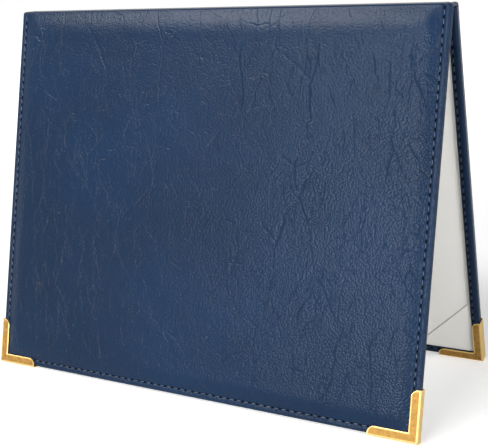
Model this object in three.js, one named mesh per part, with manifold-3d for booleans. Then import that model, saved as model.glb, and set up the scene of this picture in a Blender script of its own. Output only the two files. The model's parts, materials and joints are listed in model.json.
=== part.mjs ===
// A padded diploma cover for a letter-size certificate, standing open as a tent.
// Units are millimetres, +Z is up, +X runs along the spine and the front cover leans towards -Y.
// Each cover is laid out upright: x across, y deep from its outer rim, z down from its spine crease.

import * as THREE from 'three';
import { mergeVertices } from 'three/addons/utils/BufferGeometryUtils.js';
import Module from 'manifold-3d';

const wasm = await Module();
wasm.setup();

// Outside size and stance
const coverWidth = 292;
const coverHeight = 232.5; // from the spine crease to the free edge
const leanDegrees = 14.4; // each cover from upright

// Sheet and board thicknesses
const skin = 0.8; // leatherette
const board = 1.8; // greyboard
const liningCard = 0.5;
const pocketCard = 0.4;
const brassSheet = 0.4;
const seat = 0.3; // gap kept between pieces that touch

// Padded face
const padRise = 2.0; // how far the padded field stands out of the rim
const rollSide = 9; // width of the slope at the sides and the free edge
const rollTop = 14.5; // width of the slope at the spine
const rollTopStart = 1.5;
const rollSteps = 5;
const fieldRadius = 9;
const foamStart = 0.35; // share of the slope at which the foam begins

// Rim, seam and turned-in hem
const rimRound = 1.6;
const outlineRadius = 1.5;
const sharpRadius = 0.3;
const seamInset = 3.8; // stitch line from the edge
const seamGrooveHalf = 0.7;
const seamGrooveSlope = 0.3;
const seamGrooveDepth = 0.5;
const threadWidth = 0.6;
const threadThick = 0.3;
const padInset = 1.4; // foot of the slope from the stitch line
const hemSide = 5.2; // turned-in hem from the edge
const hemTop = 12; // hem at the spine, from the crease

// Corner pockets on the back cover's lining
const pocketLeg = 37; // seen length of each short side

// Brass corners
const cornerLeg = 29;
const cornerFlange = 5.7;
const cornerEndRadius = 4.4;
const mitreSlit = 0.4;

// Spine
const creaseGap = 0.3; // between spine and cover at the crease, when closed
const closedClearance = 0.4; // between the corners of the two covers, when closed

const cornerProud = seat + brassSheet;
const frontThick = 2 * skin + board + liningCard + 3 * seat;
const backThick = frontThick + pocketCard + seat;
const spineHalf = (frontThick + backThick) / 2 + cornerProud + closedClearance / 2;
const mitreInset = creaseGap / Math.SQRT2;
const hingeDepth = 2 * skin + seat; // both strips of the spine
const innerStart = hingeDepth + creaseGap; // where boards and hems begin below the crease
const lean = THREE.MathUtils.degToRad(leanDegrees);
const deepest = Math.max(frontThick, backThick) + cornerProud;
const creaseHeight = (coverHeight + cornerProud) * Math.cos(lean) + deepest * Math.sin(lean);

const edgeX = coverWidth / 2;

// Fineness of the curves, and how solids are cut
const outlineSteps = 4; // in each corner of a cover's outline
const rimSteps = 3;
const legEndSteps = 6;
const mergeDistance = 1e-5; // points this close are one point
const cutReach = 12; // how far a cutting solid runs past what it cuts
const cutStart = 0.4; // how far it begins inside the hollow that it opens
const ringDrop = 0.2; // each ring of a cover ends this much higher than the one before

const colours = {
  leatherette: [0x263d5c, 0.45, 0],
  foam: [0xe8e4d8, 0.95, 0],
  board: [0x9a9488, 0.9, 0],
  lining: [0xe2e1dc, 0.7, 0],
  brass: [0xd9b25a, 0.35, 0.9],
  thread: [0x1d2c45, 0.7, 0],
};

function named(name, geometry, finish) {
  const [color, roughness, metalness] = colours[finish];
  const material = new THREE.MeshStandardMaterial({ color, roughness, metalness });
  const mesh = new THREE.Mesh(geometry, material);
  mesh.name = name;
  return mesh;
}

// Solids for joining and cutting
function toSolid(geometry) {
  const bare = geometry.clone();
  bare.deleteAttribute('normal');
  bare.deleteAttribute('uv');
  const merged = mergeVertices(bare, mergeDistance);
  return new wasm.Manifold(new wasm.Mesh({
    numProp: 3,
    vertProperties: new Float32Array(merged.attributes.position.array),
    triVerts: new Uint32Array(merged.index.array),
  }));
}

function toGeometry(solid) {
  const mesh = solid.getMesh();
  const geometry = new THREE.BufferGeometry();
  geometry.setAttribute('position', new THREE.BufferAttribute(mesh.vertProperties, 3));
  geometry.setIndex(new THREE.BufferAttribute(mesh.triVerts, 1));
  geometry.computeVertexNormals();
  return geometry;
}

// A rounded rectangle across the cover, in order seen from outside.
// inset is from both sides and the free edge, top is below the crease.
function ring({ inset, top, radius, depth }) {
  const right = edgeX - inset;
  const low = -(coverHeight - inset);
  const high = -top;
  const centres = [
    [right - radius, low + radius, -0.5],
    [right - radius, high - radius, 0],
    [-right + radius, high - radius, 0.5],
    [-right + radius, low + radius, 1],
  ];
  const points = [];
  for (const [cx, cz, start] of centres) {
    for (let i = 0; i <= outlineSteps; i += 1) {
      const angle = Math.PI * (start + (0.5 * i) / outlineSteps);
      points.push([cx + radius * Math.cos(angle), depth, cz + radius * Math.sin(angle)]);
    }
  }
  return points;
}

// A closed skin through rings of equal length, from the outer side inwards.
function loft(rings) {
  const count = rings[0].length;
  const positions = rings.flat(2);
  const index = [];
  for (let r = 0; r + 1 < rings.length; r += 1) {
    for (let i = 0; i < count; i += 1) {
      const next = (i + 1) % count;
      const a = r * count + i;
      const b = r * count + next;
      index.push(a, a + count, b + count, a, b + count, b);
    }
  }
  const last = (rings.length - 1) * count;
  for (let i = 1; i + 1 < count; i += 1) {
    index.push(0, i, i + 1);
    index.push(last, last + i + 1, last + i);
  }
  const geometry = new THREE.BufferGeometry();
  geometry.setAttribute('position', new THREE.Float32BufferAttribute(positions, 3));
  geometry.setIndex(index);
  geometry.computeVertexNormals();
  return geometry;
}

// A flat shape in the cover's x-z plane, thickened from depth near to depth far.
const acrossCover = new THREE.Matrix4().makeBasis(
  new THREE.Vector3(1, 0, 0), new THREE.Vector3(0, 0, 1), new THREE.Vector3(0, -1, 0));
function plate(shape, near, far) {
  const geometry = new THREE.ExtrudeGeometry(shape, { depth: far - near, bevelEnabled: false });
  geometry.applyMatrix4(acrossCover);
  geometry.translate(0, far, 0);
  return geometry;
}

// A section in the y-z plane, run along x over the whole length.
const alongSpine = new THREE.Matrix4().makeBasis(
  new THREE.Vector3(0, 1, 0), new THREE.Vector3(0, 0, 1), new THREE.Vector3(1, 0, 0));
function run(section, length) {
  const geometry = new THREE.ExtrudeGeometry(outline(section), { depth: length, bevelEnabled: false });
  geometry.applyMatrix4(alongSpine);
  geometry.translate(-length / 2, 0, 0);
  return geometry;
}

function outline(points) {
  return new THREE.Shape(points.map(([x, y]) => new THREE.Vector2(x, y)));
}

function block(low, high) {
  const size = high.map((v, i) => v - low[i]);
  const geometry = new THREE.BoxGeometry(...size);
  geometry.translate(...low.map((v, i) => v + size[i] / 2));
  return geometry;
}

function rectangle(left, right, low, high) {
  return outline([[left, low], [right, low], [right, high], [left, high]]);
}

// The padded slope, from its foot at share 0 to the field at share 1.
function slopeRing(share, sink) {
  const rise = share * share * (3 - 2 * share);
  return {
    inset: seamInset + padInset + share * rollSide,
    top: rollTopStart + share * rollTop,
    radius: sharpRadius + share * fieldRadius,
    depth: sink - padRise * rise,
  };
}

function slopeRings(from, sink) {
  const rings = [];
  for (let i = rollSteps; i >= 0; i -= 1) {
    rings.push(slopeRing(from + ((1 - from) * i) / rollSteps, sink));
  }
  return rings;
}

// The sewn groove as insets and depths below a face, from the inner side outwards.
function grooveRings() {
  const wide = seamGrooveHalf + seamGrooveSlope;
  return [
    [seamInset + wide, 0],
    [seamInset + seamGrooveHalf, seamGrooveDepth],
    [seamInset - seamGrooveHalf, seamGrooveDepth],
    [seamInset - wide, 0],
  ];
}

function rimRings() {
  const rings = [];
  for (let i = 0; i <= rimSteps; i += 1) {
    const angle = (Math.PI / 2) * (i / rimSteps);
    rings.push([rimRound * (1 - Math.sin(angle)), rimRound * (1 - Math.cos(angle))]);
  }
  return rings;
}

// What is cut off above the cover: a mitre through the skin, then a level edge.
function topCut(thick) {
  const above = cutReach;
  const beyond = thick + cutReach;
  return run([
    [-cutReach, above],
    [-cutReach, cutReach - mitreInset],
    [innerStart - mitreInset, -innerStart],
    [beyond, -innerStart],
    [beyond, above],
  ], coverWidth + 2 * cutReach);
}

// Leatherette: padded face, seam, rounded rim, side walls and the hem turned in round the lining.
function leatherette(thick) {
  const flank = [...grooveRings(), ...rimRings()];
  const aboveCut = (i) => -cutReach / 2 - i * ringDrop;
  const toRing = (inset, depth, i) => (
    { inset, depth, top: aboveCut(i), radius: Math.max(sharpRadius, outlineRadius - inset) });
  const outer = flank.map(([inset, depth], i) => toRing(inset, depth, i));
  const inner = flank.map(([inset, depth], i) => toRing(inset, thick - depth, i)).reverse();
  const body = toSolid(loft([...slopeRings(0, 0), ...outer, ...inner].map(ring)));

  const hollowEdge = { inset: skin, top: -cutReach, radius: sharpRadius };
  const hollow = toSolid(loft([
    ...slopeRings(0, skin),
    { ...hollowEdge, depth: skin },
    { ...hollowEdge, depth: thick - skin },
  ].map(ring)));

  const opening = toSolid(plate(
    rectangle(hemSide - edgeX, edgeX - hemSide, hemSide - coverHeight, -hemTop),
    thick - skin - cutStart, thick + cutReach));
  return toGeometry(body.subtract(hollow).subtract(opening).subtract(toSolid(topCut(thick))));
}

function foamPad() {
  const base = { ...slopeRing(foamStart, 0), depth: skin };
  return loft([...slopeRings(foamStart, skin + seat), base].map(ring));
}

function insideSheet(near, thickness) {
  const side = edgeX - skin - seat;
  return plate(rectangle(-side, side, skin + seat - coverHeight, -innerStart),
    near, near + thickness);
}

// A triangular pocket tucked under the hem; side is -1 or 1, end is -1 at the spine and 1 below.
function pocket(side, end, near) {
  const x = side * (edgeX - skin - seat);
  const z = end > 0 ? skin + seat - coverHeight : -innerStart;
  const underSide = hemSide - skin - seat;
  const underEnd = end > 0 ? underSide : hemTop - innerStart;
  const leg = pocketLeg + underSide + underEnd;
  return plate(outline([[x, z], [x - side * leg, z], [x, z + end * leg]]),
    near, near + pocketCard);
}

// One seam down a side, along the free edge and up the other side.
function seamThread(top, near) {
  const outside = edgeX - seamInset + threadWidth / 2;
  const inside = outside - threadWidth;
  const low = -(coverHeight - seamInset) - threadWidth / 2;
  const inLow = low + threadWidth;
  return plate(outline([
    [-outside, -top], [-outside, low], [outside, low], [outside, -top],
    [inside, -top], [inside, inLow], [-inside, inLow], [-inside, -top],
  ]), near, near + threadThick);
}

// Corner piece, in distances from its own outer corner; side is -1 or 1.
function cornerPoint(side, along, up) {
  return [side * (edgeX + cornerProud - along), up - coverHeight - cornerProud];
}

// The rounded end of a leg, from its outer edge to its inner edge.
function legEnd() {
  const points = [[cornerLeg, 0]];
  for (let i = 0; i <= legEndSteps; i += 1) {
    const angle = (Math.PI / 2) * (i / legEndSteps);
    points.push([
      cornerLeg - cornerEndRadius * (1 - Math.cos(angle)),
      cornerFlange - cornerEndRadius * (1 - Math.sin(angle)),
    ]);
  }
  return points;
}

function brassCorner(side, thick) {
  const swap = (points) => points.map(([a, b]) => [b, a]);
  const shape = (points) => outline(points.map(([a, b]) => cornerPoint(side, a, b)));
  const end = legEnd();
  const nearFace = -cornerProud;
  const farFace = thick + cornerProud;

  const lShape = shape([[0, 0], ...end, [cornerFlange, cornerFlange], ...swap(end).reverse()]);
  const slit = mitreSlit / Math.SQRT2;
  const innerLeg = [[slit + brassSheet, 0], ...end, [cornerFlange + slit, cornerFlange]];
  const pieces = [
    plate(lShape, nearFace, nearFace + brassSheet),
    plate(shape(innerLeg), farFace - brassSheet, farFace),
    plate(shape(swap(innerLeg)), farFace - brassSheet, farFace),
    plate(shape([[0, 0], [cornerLeg, 0], [cornerLeg, brassSheet], [0, brassSheet]]),
      nearFace, farFace),
    plate(shape([[0, 0], [brassSheet, 0], [brassSheet, cornerLeg], [0, cornerLeg]]),
      nearFace, farFace),
  ];
  return toGeometry(pieces.map(toSolid).reduce((joined, piece) => joined.add(piece)));
}

// One cover with all that it carries. worldSide turns its own left and right into the part's.
function cover(name, thick, worldSide, withPockets) {
  const group = new THREE.Group();
  const sideName = (side) => (side * worldSide > 0 ? 'right' : 'left');
  const boardNear = skin + seat;
  const liningNear = boardNear + board + seat;
  const pocketNear = liningNear + liningCard + seat;
  const threadTop = rollTopStart;
  const threadNear = seamGrooveDepth - seat - threadThick;

  group.add(named(`${name}_leatherette`, leatherette(thick), 'leatherette'));
  group.add(named(`${name}_foam_pad`, foamPad(), 'foam'));
  group.add(named(`${name}_board`, insideSheet(boardNear, board), 'board'));
  group.add(named(`${name}_lining`, insideSheet(liningNear, liningCard), 'lining'));
  group.add(named(`${name}_seam_thread`, seamThread(threadTop, threadNear), 'thread'));
  group.add(named(`${name}_bobbin_thread`,
    seamThread(innerStart, thick - threadNear - threadThick), 'thread'));
  for (const side of [-1, 1]) {
    group.add(named(`${name}_corner_${sideName(side)}`, brassCorner(side, thick), 'brass'));
    if (withPockets) {
      group.add(named(`${name}_pocket_top_${sideName(side)}`, pocket(side, -1, pocketNear), 'lining'));
      group.add(named(`${name}_pocket_bottom_${sideName(side)}`, pocket(side, 1, pocketNear), 'lining'));
    }
  }
  return group;
}

// A strip of the spine between two depths below its top, with mitred long edges and sewn ends.
function spineStrip(near, far, grooveFrom) {
  const half = (depth) => spineHalf - mitreInset - depth;
  const strip = toSolid(run([
    [-half(near), -near], [-half(far), -far], [half(far), -far], [half(near), -near],
  ], coverWidth));
  const grooves = [-1, 1].map((side) => {
    const x = side * (edgeX - seamInset);
    return toSolid(block(
      [x - seamGrooveHalf, -spineHalf, grooveFrom - seamGrooveDepth],
      [x + seamGrooveHalf, spineHalf, grooveFrom + seamGrooveDepth]));
  });
  return toGeometry(grooves.reduce((solid, groove) => solid.subtract(groove), strip));
}

function spine() {
  const group = new THREE.Group();
  group.add(named('spine_leatherette', spineStrip(0, skin, 0), 'leatherette'));
  group.add(named('spine_hinge_strip', spineStrip(skin + seat, hingeDepth, -hingeDepth), 'leatherette'));
  const stitchHalf = spineHalf - hingeDepth - mitreInset;
  const outerLow = seat - seamGrooveDepth;
  const innerLow = seamGrooveDepth - seat - hingeDepth - threadThick;
  for (const side of [-1, 1]) {
    const x = side * (edgeX - seamInset);
    const thread = (low) => block(
      [x - threadWidth / 2, -stitchHalf, low], [x + threadWidth / 2, stitchHalf, low + threadThick]);
    const sideName = side > 0 ? 'right' : 'left';
    group.add(named(`spine_seam_thread_${sideName}`, thread(outerLow), 'thread'));
    group.add(named(`spine_bobbin_thread_${sideName}`, thread(innerLow), 'thread'));
  }
  return group;
}

// Tent: each cover hangs from its own crease and leans outwards; the back one is turned about.
const group = new THREE.Group();

const spineGroup = spine();
spineGroup.position.z = creaseHeight;
group.add(spineGroup);

for (const [name, thick, turn] of [['front', frontThick, 0], ['back', backThick, Math.PI]]) {
  const leaning = cover(name, thick, turn ? -1 : 1, name === 'back');
  leaning.position.set(0, -spineHalf, creaseHeight);
  leaning.rotation.x = -lean;
  const turned = new THREE.Group();
  turned.rotation.z = turn;
  turned.add(leaning);
  group.add(turned);
}

export default group;
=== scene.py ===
"""The looks of a padded diploma cover that stands open as a tent, around its fixed frame."""
import json
import math

import bmesh
import bpy
import numpy as np
from mathutils import Matrix, Vector, noise


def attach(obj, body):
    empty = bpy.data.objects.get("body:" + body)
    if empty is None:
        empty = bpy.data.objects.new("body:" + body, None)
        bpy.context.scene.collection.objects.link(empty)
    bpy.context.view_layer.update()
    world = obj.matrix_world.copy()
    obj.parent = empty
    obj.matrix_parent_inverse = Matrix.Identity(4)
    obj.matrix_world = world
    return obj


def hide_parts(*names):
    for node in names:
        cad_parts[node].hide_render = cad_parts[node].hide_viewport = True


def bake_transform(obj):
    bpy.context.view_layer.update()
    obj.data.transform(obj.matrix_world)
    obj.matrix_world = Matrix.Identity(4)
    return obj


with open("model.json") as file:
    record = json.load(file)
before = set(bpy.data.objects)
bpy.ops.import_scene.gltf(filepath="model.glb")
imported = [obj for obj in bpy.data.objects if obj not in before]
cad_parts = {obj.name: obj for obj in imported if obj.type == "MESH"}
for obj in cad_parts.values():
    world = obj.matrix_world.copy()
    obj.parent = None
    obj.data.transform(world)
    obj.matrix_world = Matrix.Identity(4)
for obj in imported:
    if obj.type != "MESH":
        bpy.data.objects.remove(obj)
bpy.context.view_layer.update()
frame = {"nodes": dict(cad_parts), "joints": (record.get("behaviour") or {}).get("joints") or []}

MM = 0.001

# Sizes of the cover, as its solids have them, in millimetres
WIDTH = 292.0
HEIGHT = 232.5  # from the spine crease to the free edge
SKIN = 0.8
THICK = {"front": 4.8, "back": 5.5}
RIM_ROUND = 1.6
SEAM_INSET = 3.8
PAD_INSET = 1.4  # foot of the padded slope from the stitch line
PAD_RISE = 2.0
ROLL_SIDE = 9.0
ROLL_TOP = 14.5
ROLL_TOP_START = 1.5
HEM_SIDE = 5.2
HEM_TOP = 12.0
HINGE_DEPTH = 1.9
INNER_START = 2.2  # where boards and hems begin below the crease
GROOVE_DEPTH = 0.5
CORNER_PROUD = 0.7
CORNER_LEG = 29.0
CORNER_FLANGE = 5.7
CORNER_END_RADIUS = 4.4

# Sizes of what only the scene draws, in millimetres
PAD_CROWN = 0.5  # how much further the middle of the pad stands out
PAD_SWAY = ((42.0, 0.16, 1.5), (17.0, 0.06, 7.5))  # unevenness: length, height and start of each
GROOVE_REACH = 1.36  # where the groove's slopes run out, from the stitch line
GROOVE_BAND = 1.4  # half the band of fine rows along the groove
HEM_GROOVE = 0.6  # depth of the groove on the hem, as a share of the one on the face
SPINE_EDGE = 2.0  # depth of the folded edge at the spine's ends
BEND = 1.5  # how far from the crease the sheet begins to bend
STRIP_SHEET = 0.6 * SKIN
STRIP_BEND = 3.2  # how far before the crease the strip begins to bend
STRIP_LAP = 2.2  # how far below the edge of the boards it lies flat again
STRIP_KNEE = 0.2  # how far above that edge, and inside the hems' face, its bend aims
STRIP_GAP = 0.4  # from the outer sheet to the middle of the strip
STRIP_SINK = 0.1  # how far the middle of the strip lies inside the hems' face
STRIP_TUCK = 0.4  # how far it runs under the side hems
STITCH_PITCH = 4.9
STITCH = (3.1, 0.75, 0.6)  # length, width and height
STITCH_SLANT = 0.09
# Size of the near-black blob at each needle hole, painted shade for the hole
NEEDLE_HOLE = (2.0, 1.35, 0.50)
HOLE_DROP = 0.14  # how much lower than its stitch a hole lies
SEAM_START = ROLL_TOP_START + 3.1  # first stitch below the crease, clear of it when the cover turns
BOBBIN_START = INNER_START + 4.2
SEAM_LOW = 0.28  # how deep the stitches lie in the groove
BOBBIN_LOW = 0.2
SPINE_BOBBIN_LOW = 0.35
SPINE_FIRST = -3.6  # place across the spine of the first of its two stitches
SIDE_STOP = 3.0  # how far above the foot seam the side seams stop
FOOT_STOP = 2.0  # how far inside the side seams the foot seam stops
MITRE_SLIT = 0.28
FOLD = 0.65  # radius of the brass corners' folds
LIP = 0.4  # radius of the flange's turned-down lip
BRASS_SHEET = 0.35

# Spacings of the rows that the sheets are drawn with
FINE = 0.35
CLOSE = 0.4
MEDIUM = 1.0
COARSE = 2.2

EDGE = WIDTH / 2

joints = {joint["name"]: joint for joint in frame["joints"]}
lean = math.radians(-joints["front_crease"]["range_deg"][0])
SPINE_HALF = -joints["front_crease"]["pos_m"][1] / MM
CREASE = joints["front_crease"]["pos_m"][2] / MM

# Bodies, and which way each cover faces
COVERS = {"front": ("front_cover", -1), "back": ("back_cover", 1)}


def linear(hex_colour):
    """An sRGB hex colour as linear RGBA."""
    parts = [int(hex_colour[i:i + 2], 16) / 255 for i in (1, 3, 5)]
    return [c / 12.92 if c <= 0.04045 else ((c + 0.055) / 1.055) ** 2.4 for c in parts] + [1.0]


def add(tree, kind, links=None, **settings):
    """Adds a node. links go to its inputs, from a socket or as a value; settings are its own."""
    node = tree.nodes.new(kind)
    for name, value in settings.items():
        setattr(node, name, value)
    for name, value in (links or {}).items():
        socket = node.inputs[name]
        if isinstance(value, bpy.types.NodeSocket):
            tree.links.new(value, socket)
        else:
            socket.default_value = value
    return node


def material(name):
    """An empty surface with its shader: the material, its tree and the shader."""
    made = bpy.data.materials.new(name)
    made.use_nodes = True
    tree = made.node_tree
    return made, tree, tree.nodes["Principled BSDF"]


def ramp(tree, factor, *stops):
    """A colour ramp from (position, colour) stops."""
    node = add(tree, "ShaderNodeValToRGB", {"Fac": factor})
    elements = node.color_ramp.elements
    while len(elements) < len(stops):
        elements.new(0.5)
    for element, (position, colour) in zip(elements, stops):
        element.position = position
        element.color = colour
    return node.outputs["Color"]


def grey(value):
    """A neutral linear RGBA colour."""
    return [value, value, value, 1.0]


def maths(tree, operation, first, second):
    """One sum on two numbers or sockets."""
    node = add(tree, "ShaderNodeMath", {0: first, 1: second}, operation=operation)
    return node.outputs[0]


def crease_lines(tree, place, spacing, stretch, turn, width, coverage, depth):
    """Thin lines between stretched cells, one set of creases, strong only in places."""
    # Each set starts elsewhere, so that no two sets share a line
    placed = add(tree, "ShaderNodeMapping",
                 {"Vector": place, "Location": (spacing * 90, spacing * 40, 0.0),
                  "Rotation": (0.0, 0.0, turn),
                  "Scale": (1 / spacing, 1 / (stretch * spacing), 1.0)}).outputs[0]
    cells = add(tree, "ShaderNodeTexVoronoi", {"Vector": placed, "Scale": 1.0},
                voronoi_dimensions="2D", feature="DISTANCE_TO_EDGE")
    valley = ramp(tree, cells.outputs["Distance"],
                  (0.0, grey(1.0)), (width * 0.5, grey(0.35)), (width, grey(0.0)))
    where = add(tree, "ShaderNodeTexNoise",
                {"Vector": placed, "Scale": 0.7, "Detail": 3.0, "Roughness": 0.6},
                noise_dimensions="2D")
    strength = ramp(tree, where.outputs["Fac"],
                    (0.60 - coverage, grey(0.0)), (0.74 - coverage, grey(depth)))
    return maths(tree, "MULTIPLY", valley, strength)


def leatherette():
    """Polyurethane film on cloth, embossed and calendered: soft sheen, long creases, fine grain."""
    made, tree, shader = material("embossed_leatherette")
    uv = add(tree, "ShaderNodeUVMap", uv_map="sheet").outputs["UV"]
    bent = uv
    # The creases wander, slowly by up to 9 mm and quickly by up to 1 mm
    for scale, reach in ((22.0, 0.018), (170.0, 0.0022)):
        warp = add(tree, "ShaderNodeTexNoise", {"Vector": uv, "Scale": scale, "Detail": 3.0},
                   noise_dimensions="2D")
        pulled = add(tree, "ShaderNodeVectorMath", {0: warp.outputs["Color"], 1: (reach, reach, 0.0)},
                     operation="MULTIPLY").outputs[0]
        bent = add(tree, "ShaderNodeVectorMath", {0: bent, 1: pulled}, operation="ADD").outputs[0]

    # Spacing in metres, stretch, turn, width, coverage and depth of each set, from wide to fine
    creases = None
    for spacing, stretch, turn, width, coverage, depth in (
        (0.024, 2.6, 0.35, 0.035, 0.10, 1.0),
        (0.019, 2.4, -0.9, 0.035, 0.06, 0.8),
        (0.0085, 2.8, 0.15, 0.05, 0.13, 0.8),
        (0.0050, 2.6, -0.5, 0.07, 0.11, 0.55),
        (0.0028, 1.5, 0.8, 0.16, 0.10, 0.2),
    ):
        lines = crease_lines(tree, bent, spacing, stretch, turn, width, coverage, depth)
        creases = lines if creases is None else maths(tree, "MAXIMUM", creases, lines)

    # Over the tight roll by the spine the sheet is stretched, so creases and grain are shallow there
    down = add(tree, "ShaderNodeSeparateXYZ", {0: uv}).outputs["Y"]
    slack = add(tree, "ShaderNodeMapRange", {0: down, 1: 0.012, 2: 0.034, 3: 0.25, 4: 1.0}).outputs[0]
    creases = maths(tree, "MULTIPLY", creases, slack)
    shallow = add(tree, "ShaderNodeMapRange", {0: down, 1: 0.014, 2: 0.028, 3: 0.3, 4: 1.0}).outputs[0]

    # Pebbles 1.3 mm apart, coarser than the usual 0.8 mm so that they show
    pebbles = add(tree, "ShaderNodeTexVoronoi", {"Vector": uv, "Scale": 1 / 0.0013},
                  voronoi_dimensions="2D", feature="F1")
    grain = maths(tree, "MULTIPLY", pebbles.outputs["Distance"], shallow)
    swell = add(tree, "ShaderNodeTexNoise", {"Vector": uv, "Scale": 45.0, "Detail": 3.0},
                noise_dimensions="2D")
    patch = add(tree, "ShaderNodeTexNoise",
                {"Vector": uv, "Scale": 9.0, "Detail": 4.0, "Roughness": 0.6},
                noise_dimensions="2D")
    base = ramp(tree, patch.outputs["Fac"], (0.3, linear("#0A1D33")), (0.7, linear("#0C233C")))
    # The crease valleys are painted darker towards #081428: painted shade in the creases
    shade = maths(tree, "MULTIPLY", creases, 0.25)
    colour = add(tree, "ShaderNodeMix", {0: shade, 6: base, 7: linear("#081428")}, data_type="RGBA")
    tree.links.new(colour.outputs[2], shader.inputs["Base Color"])
    rough = add(tree, "ShaderNodeMapRange",
                {0: pebbles.outputs["Distance"], 1: 0.0, 2: 0.7, 3: 0.25, 4: 0.35})
    tree.links.new(rough.outputs[0], shader.inputs["Roughness"])
    shader.inputs["Specular IOR Level"].default_value = 0.115

    normal = None
    for height, strength, depth in (
        (creases, 0.85, 0.00036),
        (swell.outputs["Fac"], 0.30, 0.0010),
        (grain, 0.9, 0.0002),
    ):
        bump = add(tree, "ShaderNodeBump",
                   {"Height": height, "Strength": strength, "Distance": depth}, invert=True)
        if normal is not None:
            tree.links.new(normal, bump.inputs["Normal"])
        normal = bump.outputs[0]
    tree.links.new(normal, shader.inputs["Normal"])
    return made


def stamped_brass():
    """Thin brass sheet, stamped and tumbled: dull and mottled, with a painted highlight in a paler gold
    along lips and folds.
    """
    made, tree, shader = material("stamped_brass")
    place = add(tree, "ShaderNodeTexCoord").outputs["Object"]
    mottle = add(tree, "ShaderNodeTexNoise",
                 {"Vector": place, "Scale": 420.0, "Detail": 4.0, "Roughness": 0.65})
    tint = ramp(tree, mottle.outputs["Fac"], (0.32, linear("#7E5E2E")), (0.68, linear("#A07E46")))
    # Lips and folds are painted a paler gold and made glossier: a painted highlight where the rims
    # catch the light
    painted_highlight = add(tree, "ShaderNodeAttribute", attribute_name="painted_highlight").outputs["Fac"]
    colour = add(tree, "ShaderNodeMix", {0: painted_highlight, 6: tint, 7: linear("#D6B879")}, data_type="RGBA")
    tree.links.new(colour.outputs[2], shader.inputs["Base Color"])
    shader.inputs["Metallic"].default_value = 1.0
    dull = add(tree, "ShaderNodeMapRange", {0: mottle.outputs["Fac"], 1: 0.3, 2: 0.7, 3: 0.56, 4: 0.66})
    rough = add(tree, "ShaderNodeMix", {0: painted_highlight, 2: dull.outputs[0], 3: 0.46}, data_type="FLOAT")
    tree.links.new(rough.outputs[0], shader.inputs["Roughness"])
    pits = add(tree, "ShaderNodeTexNoise", {"Vector": place, "Scale": 900.0, "Detail": 2.0})
    bump = add(tree, "ShaderNodeBump",
               {"Height": pits.outputs["Fac"], "Strength": 0.2, "Distance": 0.0002})
    tree.links.new(bump.outputs[0], shader.inputs["Normal"])
    return made


def coated_card():
    """White coated lining card: nearly matte, with a faint fibre mottle."""
    made, tree, shader = material("coated_lining_card")
    place = add(tree, "ShaderNodeTexCoord").outputs["Object"]
    cloud = add(tree, "ShaderNodeTexNoise", {"Vector": place, "Scale": 14.0, "Detail": 3.0})
    tint = ramp(tree, cloud.outputs["Fac"], (0.3, linear("#F0EFEB")), (0.7, linear("#F6F5F2")))
    tree.links.new(tint, shader.inputs["Base Color"])
    shader.inputs["Roughness"].default_value = 0.62
    shader.inputs["Specular IOR Level"].default_value = 0.4
    fibre = add(tree, "ShaderNodeTexNoise", {"Vector": place, "Scale": 900.0, "Detail": 3.0})
    bump = add(tree, "ShaderNodeBump",
               {"Height": fibre.outputs["Fac"], "Strength": 0.12, "Distance": 0.0002})
    tree.links.new(bump.outputs[0], shader.inputs["Normal"])
    return made


def sewing_thread(name, low, high):
    """Bonded polyester thread: two plies twisted, with a soft sheen."""
    made, tree, shader = material(name)
    place = add(tree, "ShaderNodeTexCoord").outputs["Object"]
    ply = add(tree, "ShaderNodeTexNoise", {"Vector": place, "Scale": 1500.0, "Detail": 2.0})
    tint = ramp(tree, ply.outputs["Fac"], (0.35, linear(low)), (0.65, linear(high)))
    tree.links.new(tint, shader.inputs["Base Color"])
    shader.inputs["Roughness"].default_value = 0.4
    bump = add(tree, "ShaderNodeBump",
               {"Height": ply.outputs["Fac"], "Strength": 0.3, "Distance": 0.0002})
    tree.links.new(bump.outputs[0], shader.inputs["Normal"])
    return made


def plain(name, low, high, scale, roughness):
    """A dull, mottled surface between two colours, for what lies inside or in shade."""
    made, tree, shader = material(name)
    place = add(tree, "ShaderNodeTexCoord").outputs["Object"]
    mottle = add(tree, "ShaderNodeTexNoise", {"Vector": place, "Scale": scale, "Detail": 5.0})
    tint = ramp(tree, mottle.outputs["Fac"], (0.3, linear(low)), (0.7, linear(high)))
    tree.links.new(tint, shader.inputs["Base Color"])
    shader.inputs["Roughness"].default_value = roughness
    shader.inputs["Specular IOR Level"].default_value = 0.1
    bump = add(tree, "ShaderNodeBump",
               {"Height": mottle.outputs["Fac"], "Strength": 0.3, "Distance": 0.0003})
    tree.links.new(bump.outputs[0], shader.inputs["Normal"])
    return made


LEATHERETTE = leatherette()
BRASS = stamped_brass()
CARD = coated_card()
THREAD = sewing_thread("needle_thread", "#12233A", "#20344E")
BOBBIN_THREAD = sewing_thread("bobbin_thread", "#0E1B30", "#1A2B45")
# Near-black blobs at the needle holes: painted shade in the holes
HOLE_SHADE = plain("needle_hole_painted_shade", "#020408", "#04070D", 800.0, 0.95)
FOAM = plain("open_cell_foam", "#DDD7C6", "#EDE8DA", 700.0, 0.95)
GREYBOARD = plain("greyboard", "#8A8478", "#A29C90", 500.0, 0.9)


def cover_matrix(side):
    """From a cover's own frame, x across, y up from the crease and z out of its face, to the part's."""
    c, s = math.cos(lean), math.sin(lean)
    return Matrix((
        (-side, 0, 0, 0),
        (0, -side * s, side * c, side * SPINE_HALF * MM),
        (0, c, s, CREASE * MM),
        (0, 0, 0, 1),
    ))


SPINE_MATRIX = Matrix.Translation((0, 0, CREASE * MM))


def steps(start, end, spacing):
    """Even steps from start up to, but without, end."""
    count = max(1, round(abs(end - start) / spacing))
    return [start + (end - start) * i / count for i in range(count)]


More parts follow.
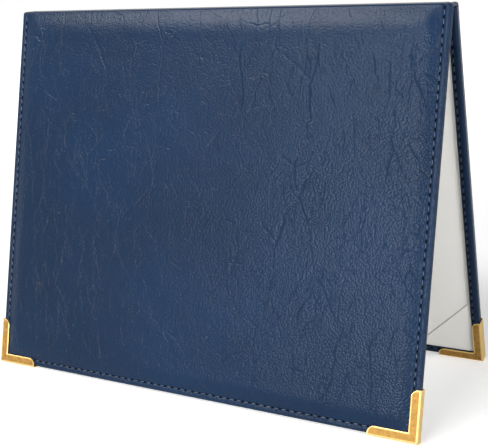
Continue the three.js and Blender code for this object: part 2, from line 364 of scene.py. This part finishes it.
def pad_rise(x, down):
    """How far the padded face stands out of the margin, from three easing slopes and a slow crown."""
    foot = SEAM_INSET + PAD_INSET
    shares = (
        (EDGE - foot - abs(x)) / ROLL_SIDE,
        (HEIGHT - foot - down) / ROLL_SIDE,
        (down - ROLL_TOP_START) / ROLL_TOP,
    )
    ease = 1.0
    for share in shares:
        ease *= math.sin(math.pi / 2 * min(1.0, max(0.0, share)))
    crown = math.cos(math.pi * x / WIDTH) * math.sin(math.pi * min(1.0, max(0.0, down / HEIGHT)))
    sway = sum(noise.noise(Vector((x / length, down / length, start))) * height
               for length, height, start in PAD_SWAY)
    return ease * (PAD_RISE + PAD_CROWN * crown + sway)


def groove(inset):
    """Depth of the sewn groove at a distance from the edge."""
    across = min(1.0, abs(inset - SEAM_INSET) / GROOVE_REACH)
    return GROOVE_DEPTH * (0.5 + 0.5 * math.cos(math.pi * across))


def wrap(thick):
    """The sheet from the face round an edge to the hem: (inset, depth) pairs, rim first."""
    arc = [math.pi / 2 * i / 4 for i in range(5)]
    pairs = [(RIM_ROUND * (1 - math.sin(a)), RIM_ROUND * (1 - math.cos(a))) for a in arc]
    back = [(inset, thick - depth) for inset, depth in reversed(pairs)]
    insets = (*steps(RIM_ROUND, HEM_SIDE, CLOSE)[1:], HEM_SIDE)
    hem = [(inset, thick - HEM_GROOVE * groove(inset)) for inset in insets]
    return pairs, back, hem


def grid_mesh(name, points, keep, uvs):
    """A sheet from rows of points, with only the quads that keep allows."""
    rows, columns = len(points), len(points[0])
    vertices = [p for row in points for p in row]
    faces = []
    for r in range(rows - 1):
        for c in range(columns - 1):
            if keep(r, c):
                a = r * columns + c
                faces.append((a, a + 1, a + columns + 1, a + columns))
    mesh = bpy.data.meshes.new(name)
    mesh.from_pydata(vertices, [], faces)
    layer = mesh.uv_layers.new(name="sheet")
    flat_uv = [uv for row in uvs for uv in row]
    for loop in mesh.loops:
        layer.data[loop.index].uv = flat_uv[loop.vertex_index]
    piece = bpy.data.objects.new(name, mesh)
    bpy.context.scene.collection.objects.link(piece)
    return piece


def finished(piece, surface):
    """Applies the modifiers, drops loose points, turns faces outwards and gives the surface."""
    bpy.context.view_layer.update()
    depsgraph = bpy.context.evaluated_depsgraph_get()
    mesh = bpy.data.meshes.new_from_object(piece.evaluated_get(depsgraph))
    piece.modifiers.clear()
    piece.data = mesh
    shape = bmesh.new()
    shape.from_mesh(mesh)
    loose = [v for v in shape.verts if not v.link_faces]
    bmesh.ops.delete(shape, geom=loose, context="VERTS")
    bmesh.ops.recalc_face_normals(shape, faces=shape.faces)
    shape.to_mesh(mesh)
    shape.free()
    if surface:
        mesh.materials.clear()
        mesh.materials.append(surface)
    mesh.shade_smooth()


def covering(name):
    """Half of the one sheet: padded face, rims, walls and hems of a cover, and half of the spine."""
    body, side = COVERS[name]
    thick = THICK[name]
    rim, back, hem = wrap(thick)

    # Across: hem, back rim, wall, rim, margin, slope and field, and the same mirrored
    slope_top = SEAM_INSET + PAD_INSET + ROLL_SIDE
    face = [*steps(RIM_ROUND, SEAM_INSET - GROOVE_BAND, CLOSE),
            *steps(SEAM_INSET - GROOVE_BAND, SEAM_INSET + GROOVE_BAND, FINE),
            *steps(SEAM_INSET + GROOVE_BAND, slope_top, MEDIUM),
            *steps(slope_top, EDGE, COARSE)]
    half = [("hem", inset, depth) for inset, depth in reversed(hem)]
    half += [("back", inset, depth) for inset, depth in reversed(back)]
    half += [("rim", inset, depth) for inset, depth in reversed(rim)]
    half += [("face", inset, 0.0) for inset in face[1:]]
    columns = [(-1, *entry) for entry in half]
    columns += [(1, "face", EDGE, 0.0)]
    columns += [(1, *entry) for entry in reversed(half)]

    # Down: mid-spine, crease, slope and field, margin, rim, wall and hem
    spine_rows = [("spine", across, 0.0) for across in steps(0.0, SPINE_HALF - BEND, MEDIUM)]
    bend_rows = [("bend", share / 6, 0.0) for share in range(6)]
    bottom_face = [HEIGHT - inset for inset in reversed(face) if inset < EDGE * 0.5]
    roll_end = ROLL_TOP_START + ROLL_TOP
    top_rows = [*steps(BEND, roll_end, spacing=0.9), *steps(roll_end, bottom_face[0], COARSE)]
    face_rows = [("face", down, 0.0) for down in (*top_rows, *bottom_face[:-1])]
    end_rows = [("rim", HEIGHT - inset, depth) for inset, depth in rim]
    end_rows += [("back", HEIGHT - inset, depth) for inset, depth in back]
    end_rows += [("hem", HEIGHT - inset, depth) for inset, depth in hem]
    rows = spine_rows + bend_rows + face_rows + end_rows

    to_part = cover_matrix(side)
    c, s = math.cos(lean), math.sin(lean)
    corner = Vector((0, side * SPINE_HALF * MM, CREASE * MM))
    along_spine = Vector((0, -side, 0))
    down_cover = Vector((0, side * s, -c))
    spine_out, cover_out = Vector((0, 0, 1)), Vector((0, side * c, s))

    def place(row, column):
        """Where a row and a column of the sheet cross."""
        kind, down, low = row
        hand, part, inset, deep = column
        x = -side * hand * (EDGE - inset)
        if kind in ("spine", "bend"):
            depth = min(deep, SPINE_EDGE) if part != "face" else groove(inset)
            if kind == "spine":
                spot, out = Vector((0, side * down * MM, CREASE * MM)), spine_out
            else:
                near, far = corner + along_spine * BEND * MM, corner + down_cover * BEND * MM
                spot = near * (1 - down) ** 2 + corner * 2 * down * (1 - down) + far * down ** 2
                out = (spine_out * (1 - down) + cover_out * down).normalized()
            return Vector((x * MM, spot.y, spot.z)) - out * depth * MM
        across = hand * (EDGE - inset)
        if kind == "face" and part == "face":
            depth = groove(inset) + groove(HEIGHT - down) * (inset > SEAM_INSET)
            if inset < SEAM_INSET + PAD_INSET or HEIGHT - down < SEAM_INSET:
                depth = groove(inset)
                if inset > SEAM_INSET - GROOVE_BAND:
                    depth = max(depth, groove(HEIGHT - down))
                if inset < SEAM_INSET and HEIGHT - down < SEAM_INSET:
                    depth = 0.0
            return to_part @ Vector((across * MM, -down * MM, (pad_rise(across, down) - depth) * MM))
        if kind == "face":
            if part == "hem":
                inset = min(inset, max(HEIGHT - down, RIM_ROUND))
                across = hand * (EDGE - inset)
            return to_part @ Vector((across * MM, -down * MM, -deep * MM))
        if part == "face":
            if kind == "hem":
                down = max(down, HEIGHT - max(inset, RIM_ROUND))
            return to_part @ Vector((across * MM, -down * MM, -low * MM))
        return to_part @ Vector((across * MM, -down * MM, -max(low, deep) * MM))

    points = [[place(row, column) for column in columns] for row in rows]

    def flap(q):
        return bool({columns[q][1], columns[q + 1][1]} & {"hem", "back"})

    # Nothing is drawn beyond both edges, because the two wraps meet in a mitre there
    def kept(r, q):
        kinds = {rows[r][0], rows[r + 1][0]}
        beyond_side = "face" not in {columns[q][1], columns[q + 1][1]}
        beyond_end = "face" not in kinds and not kinds & {"spine", "bend"}
        return not (beyond_side and beyond_end)

    def at_spine(r):
        return rows[r][0] in ("spine", "bend") or rows[r][1] == BEND

    def in_sheet(r, q):
        turned_in = at_spine(r) and "hem" not in {columns[q][1], columns[q + 1][1]}
        return kept(r, q) and (turned_in or not flap(q))

    def in_flaps(r, q):
        return kept(r, q) and flap(q) and not at_spine(r)

    # Places on the flat sheet, in metres, with the back's grain shifted so that it isn't the front's
    lengths = [0.0]
    middle = len(columns) // 2
    for upper, lower in zip(points, points[1:]):
        lengths.append(lengths[-1] + (lower[middle] - upper[middle]).length)
    run = [0.0]
    mid_row = len(rows) // 2
    for a, b in zip(points[mid_row], points[mid_row][1:]):
        run.append(run[-1] + (b - a).length)
    shift = 0.0 if name == "front" else 0.7
    uvs = [[(run[q] + shift, lengths[r]) for q in range(len(columns))] for r in range(len(rows))]

    sheet = folded_sheet(f"{name}_covering", points, in_sheet, uvs, cover_out)
    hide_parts(f"{name}_leatherette", *(["spine_leatherette"] if name == "front" else []))
    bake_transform(sheet)
    flaps = folded_sheet(f"{name}_side_flaps", points, in_flaps, uvs, None)
    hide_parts(f"{name}_leatherette")
    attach(flaps, body)


def folded_sheet(name, points, keep, uvs, outwards):
    """Leatherette of its real thickness over the quads that keep allows."""
    piece = grid_mesh(name, points, keep, uvs)
    shape = bmesh.new()
    shape.from_mesh(piece.data)
    loose = [v for v in shape.verts if not v.link_faces]
    bmesh.ops.delete(shape, geom=loose, context="VERTS")
    bmesh.ops.remove_doubles(shape, verts=shape.verts, dist=1e-6)
    bmesh.ops.dissolve_degenerate(shape, dist=1e-6, edges=shape.edges)
    shape.normal_update()
    if outwards is None:
        spread = sum(f.normal.x * f.calc_center_median().x * f.calc_area() for f in shape.faces)
    else:
        spread = sum(f.normal.dot(outwards) * f.calc_area() for f in shape.faces)
    if spread < 0:
        bmesh.ops.reverse_faces(shape, faces=shape.faces)
    shape.to_mesh(piece.data)
    shape.free()
    shell = piece.modifiers.new("sheet thickness", "SOLIDIFY")
    shell.thickness = SKIN * MM
    shell.offset = -1
    finished(piece, LEATHERETTE)
    return piece


def inner_strip(name):
    """Half of the strip inside the spine, which runs on over the edge of the lining."""
    body, side = COVERS[name]
    thick = THICK[name]
    to_part = cover_matrix(side)
    spine_low = -(SKIN + STRIP_GAP)
    line = [Vector((0, side * across * MM, (CREASE + spine_low) * MM))
            for across in steps(0, SPINE_HALF - STRIP_BEND, spacing=0.8)]
    near = Vector((0, side * (SPINE_HALF - STRIP_BEND) * MM, (CREASE + spine_low) * MM))
    far = to_part @ Vector((0, -(INNER_START + STRIP_LAP) * MM, -(thick - STRIP_SINK) * MM))
    knee = to_part @ Vector((0, -(INNER_START - STRIP_KNEE) * MM, -(thick - STRIP_KNEE) * MM))
    line += [near * (1 - t) ** 2 + knee * 2 * t * (1 - t) + far * t ** 2 for t in np.linspace(0, 1, 9)]
    line += [to_part @ Vector((0, -down * MM, -(thick - STRIP_SINK) * MM))
             for down in (*steps(INNER_START + STRIP_LAP, HEM_TOP, spacing=1.5)[1:], HEM_TOP)]
    reach = EDGE - HEM_SIDE + STRIP_TUCK
    across = [*steps(-reach, reach, spacing=3.0), reach]
    points = [[Vector((x * MM, p.y, p.z)) for x in across] for p in line]
    # Its grain comes from elsewhere on the sheet, at about a millimetre a row
    uvs = [[(x * MM + 0.3, 1.4 + i * MM) for x in across] for i in range(len(line))]
    piece = grid_mesh(f"{name}_inner_strip", points, lambda r, q: True, uvs)
    shell = piece.modifiers.new("sheet thickness", "SOLIDIFY")
    shell.thickness = STRIP_SHEET * MM
    shell.offset = 0
    finished(piece, LEATHERETTE)
    if name == "front":
        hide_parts("spine_hinge_strip")
    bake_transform(piece)


def stitch_tree():
    """Lockstitches along a path: a plump stitch, slightly turned, and after it a near-black blob,
    painted shade for the needle's hole.
    """
    tree = bpy.data.node_groups.new("lockstitches", "GeometryNodeTree")
    face = tree.interface
    face.new_socket("Path", in_out="INPUT", socket_type="NodeSocketGeometry")
    sizes = {}
    length, width, height = (size * MM for size in STITCH)
    for name, value in (("Pitch", STITCH_PITCH * MM), ("Length", length), ("Width", width),
                        ("Height", height), ("Slant", STITCH_SLANT)):
        socket = face.new_socket(name, in_out="INPUT", socket_type="NodeSocketFloat")
        socket.default_value = value
        sizes[name] = socket.identifier
    thread = face.new_socket("Thread", in_out="INPUT", socket_type="NodeSocketMaterial")
    sizes["Thread"] = thread.identifier
    face.new_socket("Stitches", in_out="OUTPUT", socket_type="NodeSocketGeometry")
    given = add(tree, "NodeGroupInput").outputs
    curve = add(tree, "GeometryNodeMeshToCurve", {"Mesh": given["Path"]}).outputs[0]
    even = add(tree, "GeometryNodeResampleCurve", {"Curve": curve, "Length": given["Pitch"]},
               mode="LENGTH").outputs[0]
    tangent = add(tree, "GeometryNodeInputTangent").outputs[0]
    flat = add(tree, "FunctionNodeAlignRotationToVector", {"Vector": tangent},
               axis="X", pivot_axis="Z").outputs[0]
    slant = add(tree, "ShaderNodeCombineXYZ", {"Z": given["Slant"]}).outputs[0]
    turn = add(tree, "FunctionNodeEulerToRotation", {0: slant}).outputs[0]
    turned = add(tree, "FunctionNodeRotateRotation", {0: flat, 1: turn},
                 rotation_space="LOCAL").outputs[0]
    ball = add(tree, "GeometryNodeMeshUVSphere", {"Segments": 10, "Rings": 7, "Radius": 0.5}).outputs[0]
    stitch_size = add(tree, "ShaderNodeCombineXYZ",
                      {"X": given["Length"], "Y": given["Width"], "Z": given["Height"]}).outputs[0]
    stitch = add(tree, "GeometryNodeTransform", {"Geometry": ball, "Scale": stitch_size}).outputs[0]
    stitches = add(tree, "GeometryNodeInstanceOnPoints",
                   {"Points": even, "Instance": stitch, "Rotation": turned}).outputs[0]
    # A near-black blob after each stitch stands for the needle hole: painted shade
    length, width, height = (size * MM for size in NEEDLE_HOLE)
    hole_size = add(tree, "ShaderNodeCombineXYZ", {"X": length, "Y": width, "Z": height}).outputs[0]
    half_pitch = maths(tree, "MULTIPLY", given["Pitch"], 0.5)
    beside = add(tree, "ShaderNodeCombineXYZ", {"X": half_pitch, "Z": -HOLE_DROP * MM}).outputs[0]
    hole = add(tree, "GeometryNodeTransform",
               {"Geometry": ball, "Scale": hole_size, "Translation": beside}).outputs[0]
    holes = add(tree, "GeometryNodeInstanceOnPoints",
                {"Points": even, "Instance": hole, "Rotation": flat}).outputs[0]
    painted = []
    for group, surface in ((stitches, given["Thread"]), (holes, HOLE_SHADE)):
        real = add(tree, "GeometryNodeRealizeInstances", {"Geometry": group}).outputs[0]
        paint = add(tree, "GeometryNodeSetMaterial", {"Geometry": real, "Material": surface})
        painted.append(paint.outputs[0])
    join = add(tree, "GeometryNodeJoinGeometry")
    for group in reversed(painted):
        tree.links.new(group, join.inputs[0])
    add(tree, "NodeGroupOutput", {"Stitches": join.outputs[0]})
    return tree, sizes


STITCHES, STITCH_SIZES = stitch_tree()


def stitch_run(name, paths, to_part, body, replaced, thread):
    """Stitches along flat paths in a cover's or the spine's own frame, as one mesh."""
    mesh = bpy.data.meshes.new(name)
    points, edges = [], []
    for path in paths:
        edges += [(len(points) + i, len(points) + i + 1) for i in range(len(path) - 1)]
        points += [Vector(p) * MM for p in path]
    mesh.from_pydata(points, edges, [])
    piece = bpy.data.objects.new(name, mesh)
    bpy.context.scene.collection.objects.link(piece)
    sewing = piece.modifiers.new("stitches", "NODES")
    sewing.node_group = STITCHES
    sewing[STITCH_SIZES["Thread"]] = thread
    finished(piece, None)
    piece.data.transform(to_part)
    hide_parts(*replaced)
    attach(piece, body)


def seams():
    """Both sides of each cover's seam, and the short seams over the spine."""
    line = EDGE - SEAM_INSET
    low = -(HEIGHT - SEAM_INSET)
    for name, (body, side) in COVERS.items():
        for layer, start, height, thread in (
            ("seam", SEAM_START, -SEAM_LOW, THREAD),
            ("bobbin", BOBBIN_START, BOBBIN_LOW - THICK[name], BOBBIN_THREAD),
        ):
            paths = [[(-line, -start, height), (-line, low + SIDE_STOP, height)],
                     [(-line + FOOT_STOP, low, height), (line - FOOT_STOP, low, height)],
                     [(line, low + SIDE_STOP, height), (line, -start, height)]]
            stitch_run(f"{name}_{layer}_stitches", paths, cover_matrix(side), body,
                       [f"{name}_{layer}_thread"], thread)
    # Two stitches over the spine, clear of both creases with the hole that follows them.
    # The path is a hair longer than one pitch, so that rounding doesn't lose the second.
    last = STITCH_PITCH + SPINE_FIRST + 0.01
    for layer, height, thread in (
        ("seam", -SEAM_LOW, THREAD),
        ("bobbin", SPINE_BOBBIN_LOW - HINGE_DEPTH, BOBBIN_THREAD),
    ):
        paths = [[(x, SPINE_FIRST, height), (x, last, height)] for x in (-line, line)]
        stitch_run(f"spine_{layer}_stitches", paths, SPINE_MATRIX, "spine",
                   [f"spine_{layer}_thread_left", f"spine_{layer}_thread_right"], thread)


def corner_profile(thick):
    """Across a leg, from the turned-down lip to the fold, and back inside: (inset, depth, share of
    painted highlight).
    """
    face, back = -CORNER_PROUD, thick + CORNER_PROUD
    quarter = [math.pi / 2 * i / 4 for i in range(5)]
    # The lip gets the full painted highlight and the fold most of it
    lip = [(CORNER_FLANGE - LIP * (1 - math.sin(a)), face + LIP * (1 - math.cos(a)), 1.0)
           for a in reversed(quarter)]
    flange = [(inset, face, 0.0) for inset in steps(CORNER_FLANGE - LIP, FOLD, spacing=0.7)[1:]]
    fold = [(FOLD * (1 - math.sin(a)), face + FOLD * (1 - math.cos(a)), 0.8) for a in quarter]
    outer = lip + flange + fold
    inner = [(inset, back - (depth - face), painted_highlight) for inset, depth, painted_highlight in reversed(outer)]
    return outer, inner


def leg_end(inset):
    """Where the rounded end of a leg lies at a distance from the outer edge."""
    rise = max(0.0, 1 - (CORNER_FLANGE - inset) / CORNER_END_RADIUS)
    return CORNER_LEG - CORNER_END_RADIUS * (1 - math.sqrt(1 - rise * rise))


def brass_corner(node, name, hand):
    """A corner folded from thin sheet: an L outside, two walls, and a mitre with a slit inside."""
    body, side = COVERS[name]
    outer, inner = corner_profile(THICK[name])
    rows = [(*row, 0.0) for row in outer]
    rows += [(*row, MITRE_SLIT if row[0] > FOLD else 0.0) for row in inner]
    shares = [i / 24 for i in range(25)]
    shape = bmesh.new()
    highlight_layer = shape.verts.layers.float.new("painted_highlight")
    for swapped in (False, True):
        made = []
        for inset, depth, painted_highlight, slit in rows:
            start, end = inset + slit, leg_end(inset)
            line = []
            for share in shares:
                along = start + (end - start) * share
                a, b = (inset, along) if swapped else (along, inset)
                x = -side * hand * (EDGE + CORNER_PROUD - a)
                vertex = shape.verts.new((x * MM, (b - HEIGHT - CORNER_PROUD) * MM, -depth * MM))
                # The rounded end of each leg gets the full painted highlight
                vertex[highlight_layer] = 1.0 if end - along < LIP else painted_highlight
                line.append(vertex)
            made.append(line)
        for upper, lower in zip(made, made[1:]):
            for i in range(len(shares) - 1):
                shape.faces.new((upper[i], upper[i + 1], lower[i + 1], lower[i]))
    bmesh.ops.remove_doubles(shape, verts=shape.verts, dist=1e-7)
    bmesh.ops.recalc_face_normals(shape, faces=shape.faces)
    facing = sum((f.normal.z * f.calc_area() for f in shape.faces if f.calc_center_median().z > 0), 0.0)
    if facing < 0:
        bmesh.ops.reverse_faces(shape, faces=shape.faces)
    mesh = bpy.data.meshes.new(f"{node}_folded")
    shape.to_mesh(mesh)
    shape.free()
    mesh.transform(cover_matrix(side))
    piece = bpy.data.objects.new(f"{node}_folded", mesh)
    bpy.context.scene.collection.objects.link(piece)
    sheet = piece.modifiers.new("sheet thickness", "SOLIDIFY")
    sheet.thickness = BRASS_SHEET * MM
    sheet.offset = -1
    finished(piece, BRASS)
    piece.data.set_sharp_from_angle(angle=math.radians(50))
    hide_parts(node)
    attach(piece, body)


def dress_solids():
    """Finishes for the solids whose shape stays."""
    finishes = (("foam_pad", FOAM), ("board", GREYBOARD), ("lining", CARD), ("pocket", CARD))
    for name, node in frame["nodes"].items():
        for key, surface in finishes:
            if key in name:
                node.data.materials.clear()
                node.data.materials.append(surface)


def seen_directly(tree):
    """1 for rays from the camera, off a glossy surface or through a clear one, and 0 for the rest."""
    path = add(tree, "ShaderNodeLightPath").outputs
    looking = maths(tree, "MAXIMUM", path["Is Camera Ray"], path["Is Glossy Ray"])
    return maths(tree, "MAXIMUM", looking, path["Is Transmission Ray"])


def studio():
    """Pale floor, soft boxes and a white surrounding."""
    floor_size = 6.0
    bpy.ops.mesh.primitive_plane_add(size=floor_size, location=(0, 0, 0))
    floor = bpy.context.active_object
    floor.name = "floor"
    made, tree, shader = material("pale_floor")
    shader.inputs["Base Color"].default_value = linear("#F2F2F2")
    shader.inputs["Roughness"].default_value = 0.9
    seen = seen_directly(tree)
    # Far from the object the floor shows as white as the surrounding, so that it has no horizon
    place = add(tree, "ShaderNodeTexCoord").outputs["Object"]
    away = add(tree, "ShaderNodeVectorMath", {0: place}, operation="LENGTH").outputs["Value"]
    white = add(tree, "ShaderNodeMapRange", {0: away, 1: 0.35, 2: 1.3, 3: 0.45, 4: 1.0}).outputs[0]
    lift = maths(tree, "MULTIPLY", seen, white)
    glow = add(tree, "ShaderNodeEmission", {"Color": (1, 1, 1, 1), "Strength": lift}).outputs[0]
    both = add(tree, "ShaderNodeAddShader", {0: shader.outputs[0], 1: glow}).outputs[0]
    tree.links.new(both, tree.nodes["Material Output"].inputs["Surface"])
    floor.data.materials.append(made)

    world = bpy.data.worlds.new("white_studio")
    bpy.context.scene.world = world
    world.use_nodes = True
    tree = world.node_tree
    seen = seen_directly(tree)
    strength = add(tree, "ShaderNodeMapRange", {0: seen, 1: 0.0, 2: 1.0, 3: 0.10, 4: 1.0}).outputs[0]
    background = tree.nodes["Background"]
    background.inputs["Color"].default_value = (1, 1, 1, 1)
    tree.links.new(strength, background.inputs["Strength"])

    # The lamps face the middle of the cover
    middle = Vector((0, 0, 0.11))
    for name, spot, width, height, power in (
        ("sheen box", (-0.10, -2.0, 0.50), 0.7, 0.8, 36.0),
        ("side box", (1.6, -0.95, 0.25), 0.9, 0.9, 29.0),
        ("crest box", (-0.86, -1.22, 1.50), 1.0, 0.4, 34.0),
    ):
        lamp = bpy.data.lights.new(name, "AREA")
        lamp.shape = "RECTANGLE"
        lamp.size = width
        lamp.size_y = height
        lamp.energy = power
        holder = bpy.data.objects.new(name, lamp)
        holder.location = spot
        holder.rotation_euler = (middle - Vector(spot)).to_track_quat("-Z", "Y").to_euler()
        bpy.context.scene.collection.objects.link(holder)


def photographer():
    """The camera, where the outline of the cover in the photograph puts it."""
    yaw, pitch, roll = (math.radians(a) for a in (29.947, 15.355, -3.064))
    ahead = math.cos(pitch)
    forward = Vector((-math.sin(yaw) * ahead, math.cos(yaw) * ahead, -math.sin(pitch)))
    level = Vector((math.cos(yaw), math.sin(yaw), 0))
    up = level.cross(forward)
    right = level * math.cos(roll) + up * math.sin(roll)
    top = up * math.cos(roll) - level * math.sin(roll)
    lens = bpy.data.cameras.new("camera")
    lens.lens = 72.94
    lens.sensor_fit = "HORIZONTAL"
    camera = bpy.data.objects.new("camera", lens)
    facing = Matrix((right, top, -forward)).transposed().to_4x4()
    camera.matrix_world = Matrix.Translation((0.309, -0.5177, 0.2589)) @ facing
    bpy.context.scene.collection.objects.link(camera)
    bpy.context.scene.camera = camera


photographer()
for cover_name in COVERS:
    covering(cover_name)
    inner_strip(cover_name)
    for hand_name, hand in (("left", -1), ("right", 1)):
        brass_corner(f"{cover_name}_corner_{hand_name}", cover_name, hand)
seams()
dress_solids()
studio()
bpy.context.scene.view_settings.view_transform = "Standard"
